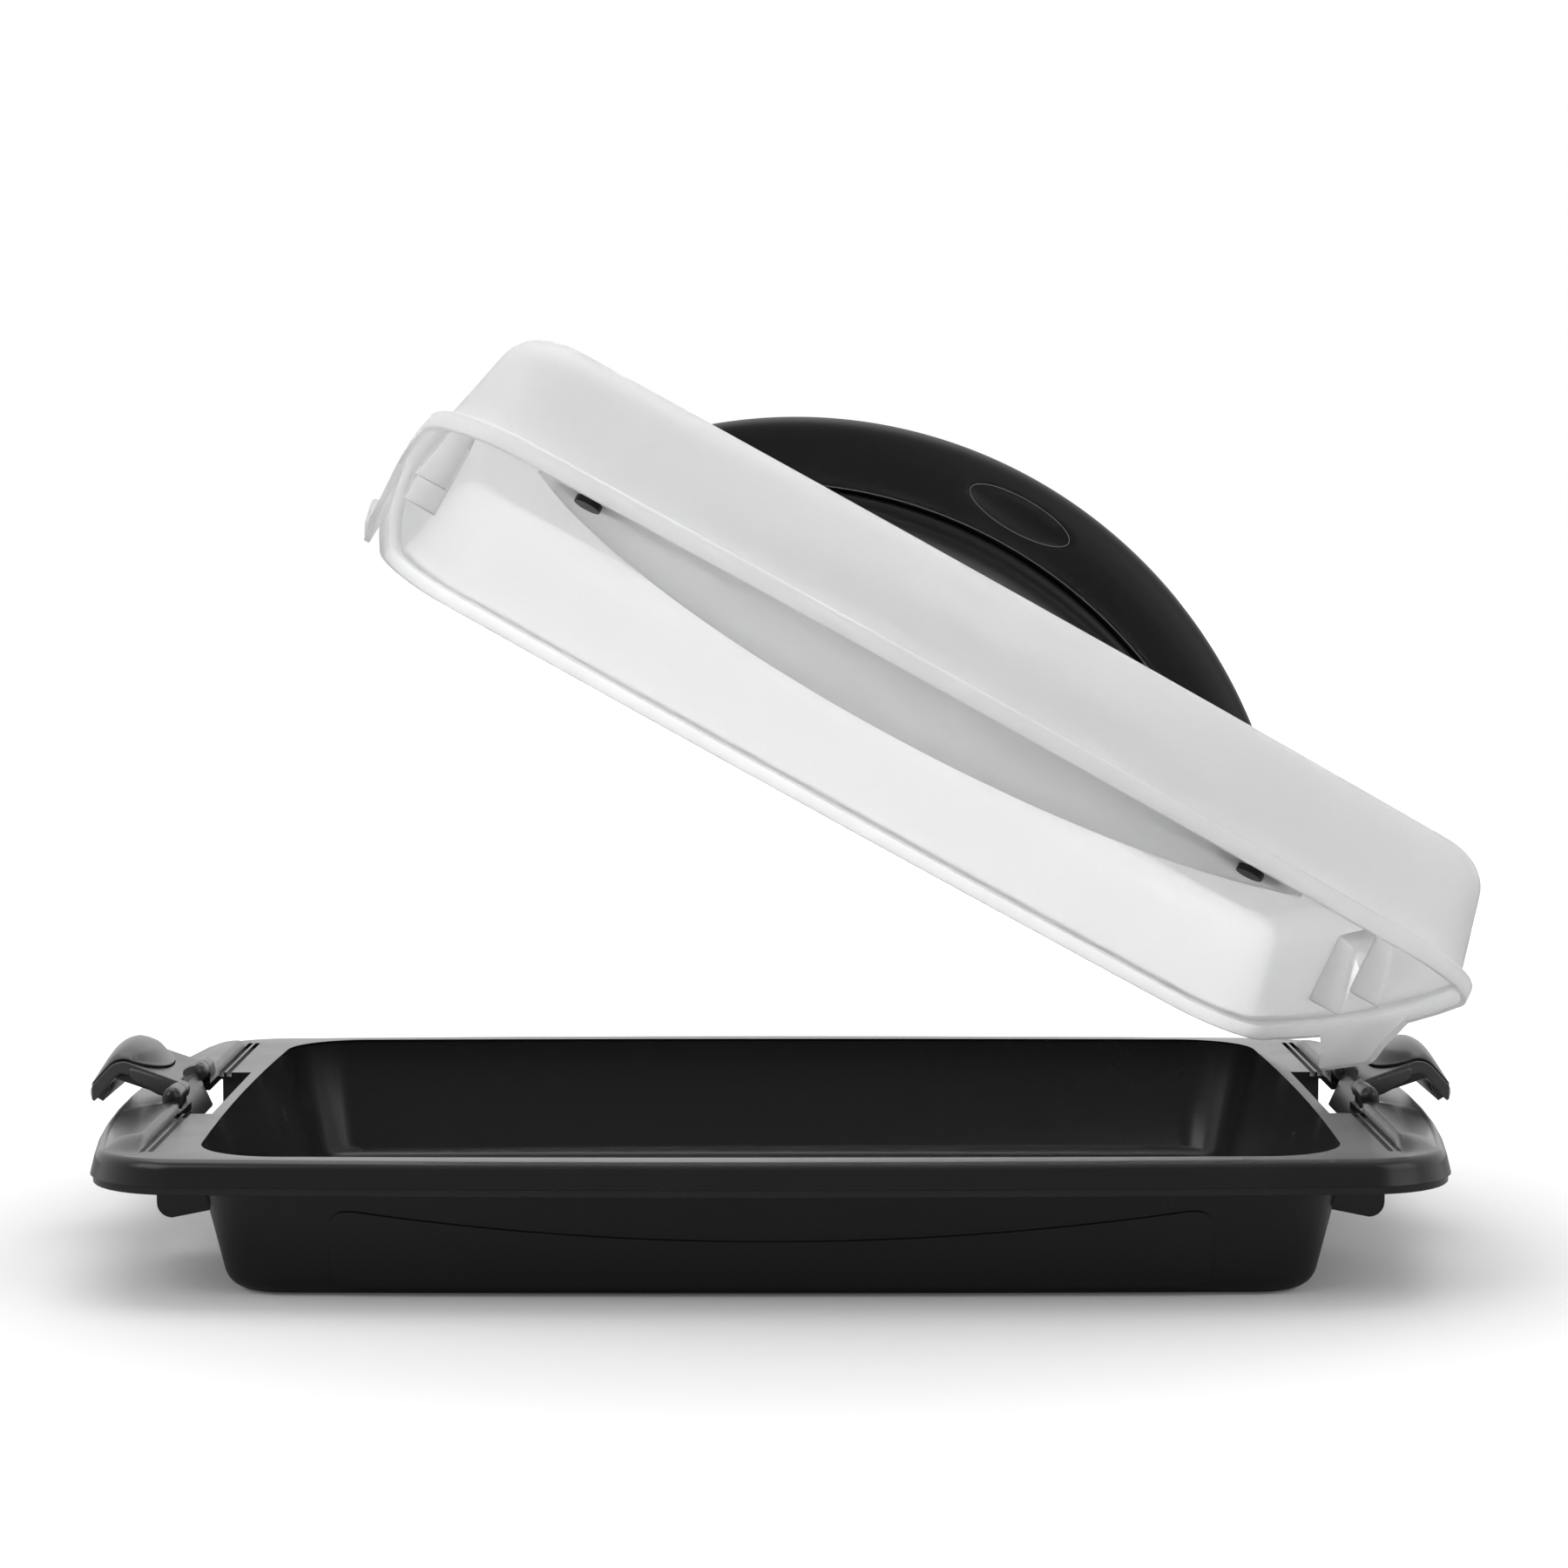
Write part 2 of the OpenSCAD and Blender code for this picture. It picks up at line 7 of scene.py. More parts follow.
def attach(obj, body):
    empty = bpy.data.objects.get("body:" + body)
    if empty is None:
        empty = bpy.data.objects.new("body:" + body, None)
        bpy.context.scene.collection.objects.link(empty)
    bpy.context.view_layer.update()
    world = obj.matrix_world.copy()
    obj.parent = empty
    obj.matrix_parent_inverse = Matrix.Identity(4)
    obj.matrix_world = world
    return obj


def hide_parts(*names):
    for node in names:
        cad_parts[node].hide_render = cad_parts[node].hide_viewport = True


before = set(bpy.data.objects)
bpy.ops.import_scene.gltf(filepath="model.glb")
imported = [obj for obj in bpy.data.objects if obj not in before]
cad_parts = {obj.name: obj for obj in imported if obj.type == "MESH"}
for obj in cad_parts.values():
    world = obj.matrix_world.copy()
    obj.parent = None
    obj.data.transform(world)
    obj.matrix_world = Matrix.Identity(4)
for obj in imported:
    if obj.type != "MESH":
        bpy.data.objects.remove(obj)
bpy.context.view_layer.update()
print("frame loaded")

inMetre = 1000.0  # millimetres in a metre
sewnWithin = 1e-5  # points nearer than this are one
sharpTurn = {"sheet": 55.0, "outline": 40.0, "piece": 38.0}  # degrees from which an edge counts as sharp


def newMaterial(name):
    mat = bpy.data.materials.new(name)
    mat.use_nodes = True
    tree = mat.node_tree
    tree.nodes.clear()
    return mat, tree, tree.nodes.new("ShaderNodeOutputMaterial")


def feed(tree, socket, value):
    # another node's output is linked to the socket, and a number or colour is set on it
    if isinstance(value, bpy.types.NodeSocket):
        tree.links.new(value, socket)
    else:
        socket.default_value = value


def noiseNode(tree, vector, scale, detail, roughness):
    node = tree.nodes.new("ShaderNodeTexNoise")
    for key, value in (("Vector", vector), ("Scale", scale), ("Detail", detail), ("Roughness", roughness)):
        feed(tree, node.inputs[key], value)
    return node.outputs["Fac"]


def rampNode(tree, value, span, result):
    node = tree.nodes.new("ShaderNodeMapRange")
    feed(tree, node.inputs["Value"], value)
    for key, number in zip(("From Min", "From Max", "To Min", "To Max"), (*span, *result)):
        node.inputs[key].default_value = number
    return node.outputs["Result"]


def mathNode(tree, operation, *values):
    node = tree.nodes.new("ShaderNodeMath")
    node.operation = operation
    for socket, value in zip(node.inputs, values):
        feed(tree, socket, value)
    return node.outputs[0]


def colourMix(tree, factor, first, second):
    node = tree.nodes.new("ShaderNodeMix")
    node.data_type = "RGBA"
    colourSockets = node.inputs[6:8]  # the two that take colours
    for socket, value in zip((node.inputs["Factor"], *colourSockets), (factor, first, second)):
        feed(tree, socket, value)
    return node.outputs[2]  # the one that gives a colour


# What every moulded plastic here shares: soft flow marks, patches of handling haze and a fine grain
skinForm = {"flowScale": 9.0, "flowDetail": 4.0, "flowRough": 0.55, "flowSpan": (0.3, 0.7), "flowSwing": 0.03,
            "hazeScale": 34.0, "hazeDetail": 5.0, "hazeRough": 0.62, "hazeSpan": (0.52, 0.74),
            "hazeDull": 0.05, "grainDetail": 3.0, "grainRough": 0.5}


def buildMouldedSkin():
    form = skinForm
    group = bpy.data.node_groups.new("mouldedSkin", "ShaderNodeTree")
    for name, kind in (("Vector", "Vector"), ("Colour", "Color"), ("Worn", "Color"), ("Grain", "Float"),
                       ("Roughness", "Float"), ("Haze", "Float")):
        group.interface.new_socket(name=name, in_out="INPUT", socket_type="NodeSocket" + kind)
    for name, kind in (("Colour", "Color"), ("Roughness", "Float"), ("Height", "Float")):
        group.interface.new_socket(name=name, in_out="OUTPUT", socket_type="NodeSocket" + kind)
    given = group.nodes.new("NodeGroupInput").outputs
    result = group.nodes.new("NodeGroupOutput").inputs
    flow = noiseNode(group, given["Vector"], form["flowScale"], form["flowDetail"], form["flowRough"])
    haze = noiseNode(group, given["Vector"], form["hazeScale"], form["hazeDetail"], form["hazeRough"])
    grain = noiseNode(group, given["Vector"], given["Grain"], form["grainDetail"], form["grainRough"])
    patch = rampNode(group, haze, form["hazeSpan"], (0.0, 1.0))
    worn = mathNode(group, "MULTIPLY", patch, given["Haze"])
    swing = rampNode(group, flow, form["flowSpan"], (-form["flowSwing"], form["flowSwing"]))
    uneven = mathNode(group, "ADD", given["Roughness"], swing)
    feed(group, result["Colour"], colourMix(group, worn, given["Colour"], given["Worn"]))
    feed(group, result["Roughness"], mathNode(group, "MULTIPLY_ADD", patch, form["hazeDull"], uneven))
    feed(group, result["Height"], grain)
    return group


mouldedSkin = buildMouldedSkin()


def mouldedPlastic(name, look):
    mat, tree, out = newMaterial(name)
    bsdf = tree.nodes.new("ShaderNodeBsdfPrincipled")
    coords = tree.nodes.new("ShaderNodeTexCoord")
    skin = tree.nodes.new("ShaderNodeGroup")
    skin.node_tree = mouldedSkin
    skin.inputs["Colour"].default_value = (*look["colour"], 1)
    skin.inputs["Worn"].default_value = (*look["worn"], 1)
    skin.inputs["Grain"].default_value = look["grain"]
    skin.inputs["Roughness"].default_value = look["roughness"]
    skin.inputs["Haze"].default_value = look["haze"]
    feed(tree, skin.inputs["Vector"], coords.outputs["Object"])
    bump = tree.nodes.new("ShaderNodeBump")
    bump.inputs["Strength"].default_value = look["bump"]
    bump.inputs["Distance"].default_value = look["grainDepth"]
    feed(tree, bump.inputs["Height"], skin.outputs["Height"])
    feed(tree, bsdf.inputs["Base Color"], skin.outputs["Colour"])
    feed(tree, bsdf.inputs["Roughness"], skin.outputs["Roughness"])
    feed(tree, bsdf.inputs["Normal"], bump.outputs["Normal"])
    bsdf.inputs["IOR"].default_value = look["ior"]
    feed(tree, out.inputs["Surface"], bsdf.outputs["BSDF"])
    return mat


def frostedPlastic(name, look):
    # moulded plastic that lets light through and scatters it inside
    mat = mouldedPlastic(name, look)
    bsdf = mat.node_tree.nodes["Principled BSDF"]
    bsdf.inputs["Transmission Weight"].default_value = look["clear"]
    bsdf.inputs["Subsurface Weight"].default_value = look["milky"]
    bsdf.inputs["Subsurface Radius"].default_value = look["spread"]
    bsdf.inputs["Subsurface Scale"].default_value = look["depth"]
    bsdf.subsurface_method = "BURLEY"
    return mat


trayLook = {"colour": (0.012, 0.012, 0.014), "worn": (0.04, 0.04, 0.045), "grain": 1500.0,
            "grainDepth": 0.00012, "roughness": 0.21, "haze": 0.08, "bump": 0.25, "ior": 1.5}
clipLook = {"colour": (0.07, 0.07, 0.073), "worn": (0.1, 0.1, 0.105), "grain": 2200.0, "grainDepth": 0.00012,
            "roughness": 0.27, "haze": 0.1, "bump": 0.2, "ior": 1.5}
gripLook = {"colour": (0.006, 0.006, 0.007), "worn": (0.025, 0.025, 0.028), "grain": 1900.0,
            "grainDepth": 0.00012, "roughness": 0.4, "haze": 0.08, "bump": 0.25, "ior": 1.38}
# near black with no sheen: painted shade for the gap round each clip's pad
gapShadeLook = {"colour": (0.002, 0.002, 0.002), "worn": (0.004, 0.004, 0.004), "grain": 1900.0,
            "grainDepth": 0.00012, "roughness": 0.9, "haze": 0.0, "bump": 0.0, "ior": 1.1}
# the grey of the handle's fine edge beads is a painted highlight along its moulded edges
edgeHighlightLook = {"colour": (0.16, 0.16, 0.16), "worn": (0.2, 0.2, 0.2), "grain": 1900.0, "grainDepth": 0.00012,
            "roughness": 0.4, "haze": 0.1, "bump": 0.0, "ior": 1.45}
lidLook = {"colour": (0.94, 0.94, 0.94), "worn": (0.965, 0.965, 0.965), "grain": 900.0, "grainDepth": 0.0001,
           "roughness": 0.4, "haze": 0.6, "bump": 0.12, "ior": 1.45,
           "clear": 0.62, "milky": 0.8, "spread": (1.0, 1.0, 1.0), "depth": 0.012}

trayPlastic = mouldedPlastic("trayPlastic", trayLook)
clipPlastic = mouldedPlastic("clipPlastic", clipLook)
gripPlastic = mouldedPlastic("gripPlastic", gripLook)
paintedGapShade = mouldedPlastic("paintedGapShade", gapShadeLook)
paintedHighlightGrey = mouldedPlastic("paintedHighlightGrey", edgeHighlightLook)
lidPlastic = frostedPlastic("lidPlastic", lidLook)
print("materials made")


def shadeSmooth(bm, sharpFrom):
    # smooth all over except across edges that turn by this angle or more
    for face in bm.faces:
        face.smooth = True
    for edge in bm.edges:
        if len(edge.link_faces) == 2:
            edge.smooth = edge.calc_face_angle(0.0) < math.radians(sharpFrom)


def linkedObject(name, data):
    obj = bpy.data.objects.new(name, data)
    bpy.context.scene.collection.objects.link(obj)
    return obj


# Pieces whose solids are shown as they are: node, then name, plastic, body and slot
copyForm = {"merge": 2e-6, "sharpFrom": 32.0}
copied = {
    "base_tray": ("tray", trayPlastic, "base", "tray_plastic"),
    "lid_shell": ("lid", lidPlastic, "lid", "lid_plastic"),
    "handle_peg_left": ("pegLeft", gripPlastic, "lid", "handle_plastic"),
    "handle_peg_right": ("pegRight", gripPlastic, "lid", "handle_plastic"),
    "clip_left": ("clipLeft", clipPlastic, "clip_left", "clip_plastic"),
    "clip_right": ("clipRight", clipPlastic, "clip_right", "clip_plastic"),
}
ridgeBead = {"fromY": 0.0415, "aboveZ": 0.0466, "loweredZ": 0.0465}


def smoothCopy(node, name, mat):
    # the node's own triangles, joined up
    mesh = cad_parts[node].data.copy()
    mesh.name = name
    piece = linkedObject(name, mesh)
    bm = bmesh.new()
    bm.from_mesh(mesh)
    bmesh.ops.remove_doubles(bm, verts=bm.verts, dist=copyForm["merge"])
    shadeSmooth(bm, copyForm["sharpFrom"])
    bm.to_mesh(mesh)
    bm.free()
    if mesh.has_custom_normals:
        bpy.context.view_layer.objects.active = piece
        bpy.ops.mesh.customdata_custom_splitnormals_clear()
    mesh.materials.clear()
    mesh.materials.append(mat)
    return piece


def lowerRidgeBead(mesh):
    # the faceted bead of the solid sinks under the smooth crowns that are laid over the deck
    for vert in mesh.vertices:
        if abs(vert.co.y) > ridgeBead["fromY"] and vert.co.z > ridgeBead["aboveZ"]:
            vert.co.z = ridgeBead["loweredZ"]


for node, (name, mat, body, slotName) in copied.items():
    piece = smoothCopy(node, name, mat)
    if node == "base_tray":
        lowerRidgeBead(piece.data)
    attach(piece, body)
    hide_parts(node)
print("solids copied")


def meshPiece(name, bm, mat, sharpFrom=sharpTurn["piece"]):
    # a finished bmesh becomes a piece
    bmesh.ops.recalc_face_normals(bm, faces=bm.faces)
    shadeSmooth(bm, sharpFrom)
    mesh = bpy.data.meshes.new(name)
    bm.to_mesh(mesh)
    bm.free()
    mesh.materials.append(mat)
    return linkedObject(name, mesh)


def rulePiece(columns, rows, place, wrap=False):
    # a flat grid carried to its place by a rule: u runs from 0 to 1, and v from -1 to 1
    # or, where the grid is wrapped round and sewn up, from 0 to 1
    bm = bmesh.new()
    bmesh.ops.create_grid(bm, x_segments=columns, y_segments=rows, size=0.5)
    for vert in bm.verts:
        u = vert.co.x + 0.5
        v = vert.co.y + 0.5 if wrap else vert.co.y * 2
        vert.co = place(u, v)
    if wrap:
        bmesh.ops.remove_doubles(bm, verts=bm.verts, dist=sewnWithin)
        bmesh.ops.holes_fill(bm, edges=[e for e in bm.edges if e.is_boundary], sides=0)
    return bm


def easeStep(t):
    t = min(1.0, max(0.0, t))
    return t * t * (3 - 2 * t)


def faceUp(bm):
    bmesh.ops.recalc_face_normals(bm, faces=bm.faces)
    if sum(face.normal.z for face in bm.faces) < 0:
        bmesh.ops.reverse_faces(bm, faces=bm.faces)


def easeEdges(bm, turn, width, segments):
    # bevels the edges that turn by more than an angle
    sharp = [edge for edge in bm.edges if edge.calc_face_angle(0.0) > math.radians(turn)]
    bmesh.ops.bevel(bm, geom=sharp, offset=width, offset_type="OFFSET", segments=segments, profile=0.5,
                    affect="EDGES", clamp_overlap=True, material=-1)


def thicken(bm, depth, edge, segments):
    # a sheet gets its thickness downwards and eased edges
    faceUp(bm)
    bmesh.ops.solidify(bm, geom=bm.faces[:], thickness=depth)
    easeEdges(bm, sharpTurn["sheet"], edge, segments)
    return bm


def extrudeOutline(points, span, edge, segments):
    # an X-Z outline carried along Y and eased at its edges
    bm = bmesh.new()
    face = bm.faces.new([bm.verts.new((x, span[0], z)) for x, z in points])
    grown = bmesh.ops.extrude_face_region(bm, geom=[face])["geom"]
    moved = [part for part in grown if isinstance(part, bmesh.types.BMVert)]
    bmesh.ops.translate(bm, verts=moved, vec=(0, span[1] - span[0], 0))
    bmesh.ops.recalc_face_normals(bm, faces=bm.faces)
    easeEdges(bm, sharpTurn["outline"], edge, segments)
    return bm


def capsule(radius, span, x, z):
    # a pin boss along Y with domed ends
    bm = bmesh.new()
    bmesh.ops.create_uvsphere(bm, u_segments=32, v_segments=16, radius=radius)
    bmesh.ops.rotate(bm, verts=bm.verts, cent=(0, 0, 0), matrix=Matrix.Rotation(math.radians(90), 3, "X"))
    half = max(0.0, (span[1] - span[0]) / 2 - radius)
    for vert in bm.verts:
        if abs(vert.co.y) > sewnWithin:
            vert.co.y += math.copysign(half, vert.co.y)
    bmesh.ops.translate(bm, verts=bm.verts, vec=(x, (span[0] + span[1]) / 2, z))
    return bm


# One ridge crown on the rim's deck, in millimetres: it rises beside the clip and runs out near the corner.
# Across, it climbs from innerX to ridgeX and falls to the start of the rim's roll.
crownForm = {"ridgeX": 204.6, "innerX": 202.2, "innerShare": 0.2, "innerPower": 2.5, "outerPower": 2.2,
             "height": 3.2, "deckZ": 46.53, "thick": 0.8,
             "from": 38.0, "full": 46.0, "fall": 109.0, "to": 132.0,
             "endR": 829.1, "endX": -606.0, "cornerX": 188.0, "cornerY": 113.0, "cornerR": 27.1,
             "cornerFrom": 116.8, "columns": 90, "rows": 40}


def rollStart(y):
    form = crownForm
    if y < form["cornerFrom"]:
        return form["endX"] + math.sqrt(form["endR"] ** 2 - y * y)
    return form["cornerX"] + math.sqrt(max(1.0, form["cornerR"] ** 2 - (y - form["cornerY"]) ** 2))


def crownPlace(u, v):
    form = crownForm
    y = form["from"] + (form["to"] - form["from"]) * u
    rising = easeStep((y - form["from"]) / (form["full"] - form["from"]))
    falling = 1 - easeStep((y - form["fall"]) / (form["to"] - form["fall"]))
    t = (v + 1) / 2
    share = form["innerShare"]
    if t < share:
        x = form["innerX"] + (form["ridgeX"] - form["innerX"]) * t / share
        z = form["height"] * (1 - (1 - t / share) ** form["innerPower"])
    else:
        out = (t - share) / (1 - share)
        x = form["ridgeX"] + (rollStart(y) - form["ridgeX"]) * out
        z = form["height"] * (1 - out ** form["outerPower"])
    return Vector((x, y, z * rising * falling + form["deckZ"]))


def buildDeckCrowns():
    form = crownForm
    for end, sideX in (("Right", 1), ("Left", -1)):
        for hand, sideY in (("Back", 1), ("Front", -1)):
            bm = rulePiece(form["columns"], form["rows"], crownPlace)
            faceUp(bm)
            bmesh.ops.solidify(bm, geom=bm.faces[:], thickness=form["thick"])
            for vert in bm.verts:
                vert.co = Vector((sideX * vert.co.x, sideY * vert.co.y, vert.co.z)) / inMetre
            piece = meshPiece("deckCrown" + end + hand, bm, trayPlastic)
            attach(piece, "base")


buildDeckCrowns()
print("deck made")

# The arched handle in millimetres with the lid shut. Seen from the side it lies between two arcs, and a
# parting line splits it "seam" above the lower one.
gripForm = {"arch": 172.0, "deep": 31.8, "halfSpan": 168.0, "half": 16.0, "foot": 8.5, "lean": 0.05,
            "seam": 3.0, "lidTop": 91.8, "rise": 69.5, "pocket": 12.0, "footGap": 0.02,
            "bunch": 1.1, "upperFlank": 0.42, "lowerFlank": 0.16, "upperCrown": 0.62, "sharpFrom": 50.0}
dimpleForm = {"long": 19.5, "high": 5.9, "down": 16.5, "bowl": 2.4, "flankFrom": 0.4,
              "groove": 0.5, "grooveAt": -0.06, "grooveHalf": 0.12}
underForm = {"deep": 7.0, "span": 0.9, "round": 0.75, "overlap": 1.0, "inset": 0.45}
lidTurn = {"point": (212.0, 74.0, 46.8), "azimuth": 114.0, "climb": 12.0, "angle": 32.0}


def turnedLid():
    # from millimetres on the shut lid to metres on the tilted one
    azimuth = math.radians(lidTurn["azimuth"])
    climb = math.radians(lidTurn["climb"])
    axis = Vector((math.cos(climb) * math.cos(azimuth), math.cos(climb) * math.sin(azimuth), math.sin(climb)))
    point = Matrix.Translation(Vector(lidTurn["point"]))
    scale = Matrix.Diagonal((1 / inMetre, 1 / inMetre, 1 / inMetre, 1.0))
    return scale @ point @ Matrix.Rotation(math.radians(lidTurn["angle"]), 4, axis) @ point.inverted()


def signedPower(value, power):
    return math.copysign(abs(value) ** power, value)


def archPoint(along, up, drop=0.0):
    # side view: along runs from foot to foot, -1 to 1, and up from the lower arc to the upper one, 0 to 1
    form = gripForm
    radius = form["arch"]
    centre = form["lidTop"] + form["rise"] - radius
    footZ = form["lidTop"] - form["pocket"] + form["footGap"]
    arcs = []
    for centreZ in (centre, centre - form["deep"]):
        angle = along * math.acos((footZ - centreZ) / radius)
        arcs.append(Vector((radius * math.sin(angle), centreZ + radius * math.cos(angle))))
    return arcs[0] * up + arcs[1] * (1 - up) - Vector((0.0, drop))


def gripHalf(along):
    return gripForm["half"] - (gripForm["half"] - gripForm["foot"]) * along * along


def dimpleCut(x, z):
    # how far a point of the grip's side is sunk: the thumb dimple's bowl, in a fine groove
    form = dimpleForm
    middle = gripForm["lidTop"] + gripForm["rise"] - form["down"]
    oval = 1 - (x / form["long"]) ** 2 - ((z - middle) / form["high"]) ** 2
    bowl = form["bowl"] * min(1.0, math.sqrt(max(0.0, oval)))
    groove = form["groove"] * max(0.0, 1 - abs(oval - form["grooveAt"]) / form["grooveHalf"])
    return abs(bowl - groove)


def gripPlace(u, v):
    form = gripForm
    along = signedPower(2 * u - 1, form["bunch"])
    angle = -2 * math.pi * v
    above = math.sin(angle) > 0
    across = signedPower(math.cos(angle), form["upperFlank"] if above else form["lowerFlank"])
    up = signedPower(math.sin(angle), form["upperCrown"]) if above else math.sin(angle)
    split = form["seam"] / form["deep"]
    side = archPoint(along, split + (1 - split) * (1 + up) / 2)
    y = gripHalf(along) * across * (1 - form["lean"] * max(0.0, up))
    sunk = dimpleCut(side.x, side.y) if abs(across) > dimpleForm["flankFrom"] else 0.0
    return Vector((side.x, y - math.copysign(min(abs(y), sunk), y), side.y))


def gripUnderPlace(u, v):
    # the lower half below the parting line, drawn in slightly so that the line shows
    form = underForm
    along = form["span"] * (2 * u - 1)
    angle = -2 * math.pi * v
    across = signedPower(math.cos(angle), form["round"])
    up = signedPower(math.sin(angle), form["round"])
    split = (gripForm["seam"] + form["overlap"]) / gripForm["deep"]
    drop = form["deep"] * (1 - along * along) * (1 - up) / 2
    side = archPoint(along, split * (1 + up) / 2, drop)
    return Vector((side.x, (gripHalf(along) - form["inset"]) * across, side.y))


def buildGrip():
    turn = turnedLid()
    halves = (
        ("grip", 220, 160, gripPlace, "handle_grip"),
        ("gripUnder", 90, 48, gripUnderPlace, "handle_strip"),
    )
    for name, columns, rows, place, node in halves:
        bm = rulePiece(columns, rows, place, wrap=True)
        bmesh.ops.transform(bm, matrix=turn, verts=bm.verts)
        piece = meshPiece(name, bm, gripPlastic, gripForm["sharpFrom"])
        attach(piece, "lid")
        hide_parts(node)


# Hair-thin moulded edges, as round beads whose grey paints the highlight along them, in millimetres
highlightBeadForm = {"radius": 0.16, "rounds": 2, "loopPoints": 96, "loopGrow": 0.3, "loopOut": 0.02,
            "partingPoints": 121, "partingSpan": 0.93, "partingUp": 0.5, "partingIn": 0.12, "flattest": 0.98}


def sideOfGrip(x, z):
    # half width of the grip at a point of its side
    form = gripForm
    crown = form["lidTop"] + form["rise"] - form["arch"] + math.sqrt(form["arch"] ** 2 - x * x)
    split = form["seam"] / form["deep"]
    up = 2 * (1 - (crown - z) / form["deep"] - split) / (1 - split) - 1
    up = min(highlightBeadForm["flattest"], max(-highlightBeadForm["flattest"], up))
    angle = math.asin(up ** (1 / form["upperCrown"]) if up > 0 else up)
    flank = math.cos(angle) ** (form["upperFlank"] if up > 0 else form["lowerFlank"])
    return gripHalf(x / form["halfSpan"]) * flank * (1 - form["lean"] * max(0.0, up))


# a thin grey bead along a moulded edge of the grip: its colour is a painted highlight
def highlightBead(name, points, closed):
    turn = turnedLid()
    data = bpy.data.curves.new(name, "CURVE")
    data.dimensions = "3D"
    data.bevel_depth = highlightBeadForm["radius"] / inMetre
    data.bevel_resolution = highlightBeadForm["rounds"]
    line = data.splines.new("POLY")
    line.points.add(len(points) - 1)
    for end, place in zip(line.points, points):
        end.co = (*(turn @ Vector(place)), 1.0)
    line.use_cyclic_u = closed
    data.materials.append(paintedHighlightGrey)
    piece = linkedObject(name, data)
    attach(piece, "lid")


# painted highlights along the dimple's rim and the parting line, on both sides of the grip
def buildGripHighlights():
    form = highlightBeadForm
    middle = gripForm["lidTop"] + gripForm["rise"] - dimpleForm["down"]
    long = dimpleForm["long"] + form["loopGrow"]
    high = dimpleForm["high"] + form["loopGrow"]
    partingUp = (gripForm["seam"] + form["partingUp"]) / gripForm["deep"]
    for hand, side in (("Near", -1), ("Far", 1)):
        loop = []
        for step in range(form["loopPoints"]):
            angle = 2 * math.pi * step / form["loopPoints"]
            x = long * math.cos(angle)
            z = middle + high * math.sin(angle)
            loop.append((x, side * (sideOfGrip(x, z) + form["loopOut"]), z))
        highlightBead("dimpleHighlight" + hand, loop, True)
        parting = []
        for step in range(form["partingPoints"]):
            along = form["partingSpan"] * (2 * step / (form["partingPoints"] - 1) - 1)
            place = archPoint(along, partingUp)
            parting.append((place.x, side * (gripHalf(along) - form["partingIn"]), place.y))
        highlightBead("partingHighlight" + hand, parting, False)


buildGrip()
buildGripHighlights()
print("handle made")

# One clip in millimetres from its pivot, hood towards +X, before it is set at either end.
# Along the hood, u passes the plate up to bendFrom, the bend up to bendTo and the finger lip after it.
clipForm = {"pivot": (205.8, 50.7), "bend": (19.2, 3.3), "bendR": 6.85, "bendFrom": 0.4, "bendTo": 0.7,
            "rise": 20.0, "fall": 48.0, "lip": 12.6, "back": -0.4, "half": 24.6, "armHalf": 26.1,
            "front": 33.2, "frontR": 87.0, "waist": 1.4, "waistR": 51.0,
            "columns": 44, "rows": 30, "thick": 4.1, "edge": 1.15, "segments": 4}
padForm = {"half": 22.7, "inner": 5.6, "latest": 15.9, "round": 11.0, "short": 0.7,
           "thick": 3.4, "edge": 0.35, "segments": 3,
           "step": 0.9, "dome": 4.4, "crown": 17.5, "reach": 12.8, "alongPower": 0.75, "acrossPower": 0.6,
           "swellBack": 1.0, "swellRun": 7.0, "lean": 0.6,
           "tiltPlate": 20.0, "tiltLip": 28.0, "tiltFrom": 18.0, "tiltRun": 8.0}
# a black sheet a little larger than the pad, lying under it, so that its rim shows as painted shade in the
# gap between pad and hood
padGapShadeForm = {"grow": 0.32, "lift": 0.14, "thick": 0.5, "edge": 0.05, "segments": 1}

# Side views, X and Z, clear of the deck when the clip is pressed down: the lip's wall, the cheek that joins
# it to the plate, and the arm that comes down round the pivot
lipOutline = [(23.6, 3.5), (25.0, -1.0), (26.6, -4.1), (30.4, -1.7), (27.0, 3.6), (24.4, 5.6)]
cheekOutline = [(5.2, 2.0), (5.2, -0.7), (6.6, -1.5), (22.2, 3.85), *lipOutline, (20.0, 7.4), (12.0, 4.6)]
armOutline = [(17.0, 8.4), (-0.2, 3.3), (-2.6, 2.5), (-3.5, 0.4), (-3.0, -1.9), (-1.2, -3.3), (0.8, -3.3),
              (4.2, -2.1), (7.0, -1.2), (12.0, 1.5), (17.0, 5.4)]
sideForm = {"cheek": (19.5, 21.5), "cheekEdge": 0.25, "cheekSegments": 2,
            "lip": (-19.6, 19.6), "lipEdge": 0.3, "arm": (18.5, 26.0), "armEdge": 1.3, "armSegments": 4,
            "boss": (17.0, 27.0), "bossR": 2.9, "bossX": 0.6, "bossZ": 0.3}


